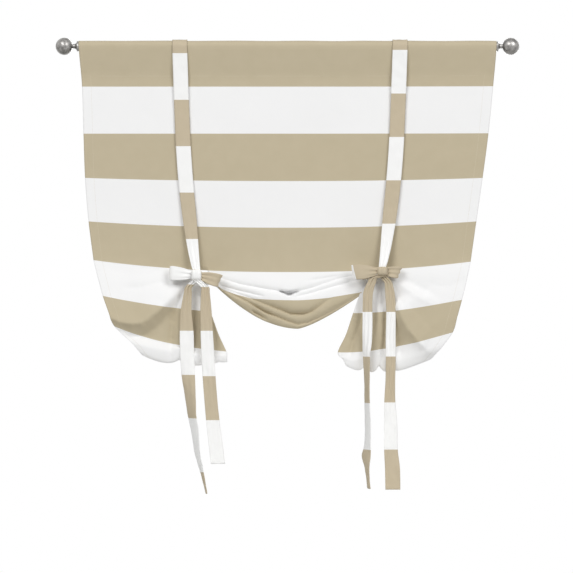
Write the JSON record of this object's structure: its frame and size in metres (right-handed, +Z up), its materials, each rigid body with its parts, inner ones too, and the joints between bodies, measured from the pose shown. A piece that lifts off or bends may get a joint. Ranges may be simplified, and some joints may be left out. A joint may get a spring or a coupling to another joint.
{
  "type": "tie-up curtain",
  "caption": "Striped fabric tie-up curtain on a telescoping rod with ball finials, gathered by tie straps into bows, with a pleated swag between folded side wings.",
  "frame": {"origin": "on the rod's axis, half way between the two finials", "axes": "+X along the rod to the right as seen from the front, -Y out of the curtain's face, +Z up"},
  "size_m": [1.184, 0.1006, 1.1622],
  "materials": {
    "rod_metal": "satin",
    "finial_metal": "satin",
    "stud_steel": "plain",
    "plug_plastic": "matte",
    "panel_cloth": "plain weave, wide tan and white stripes",
    "tie_cloth": "plain weave, wide tan and white stripes"
  },
  "bodies": {
    "outer": {"rod_outer_tube": "rod_metal", "left_finial": "finial_metal", "left_finial_stud": "stud_steel", "left_rod_plug": "plug_plastic", "curtain_panel": "panel_cloth", "left_front_tie": "tie_cloth", "left_back_tie": "tie_cloth", "right_front_tie": "tie_cloth", "right_back_tie": "tie_cloth"},
    "inner": {"rod_inner_tube": "rod_metal", "right_finial": "finial_metal", "right_finial_stud": "stud_steel", "right_rod_plug": "plug_plastic"}
  },
  "joints": [
    {"name": "rod_extension", "type": "slide", "parent": "outer", "child": "inner", "axis": [1, 0, 0], "range_m": [0, 0.15]}
  ]
}
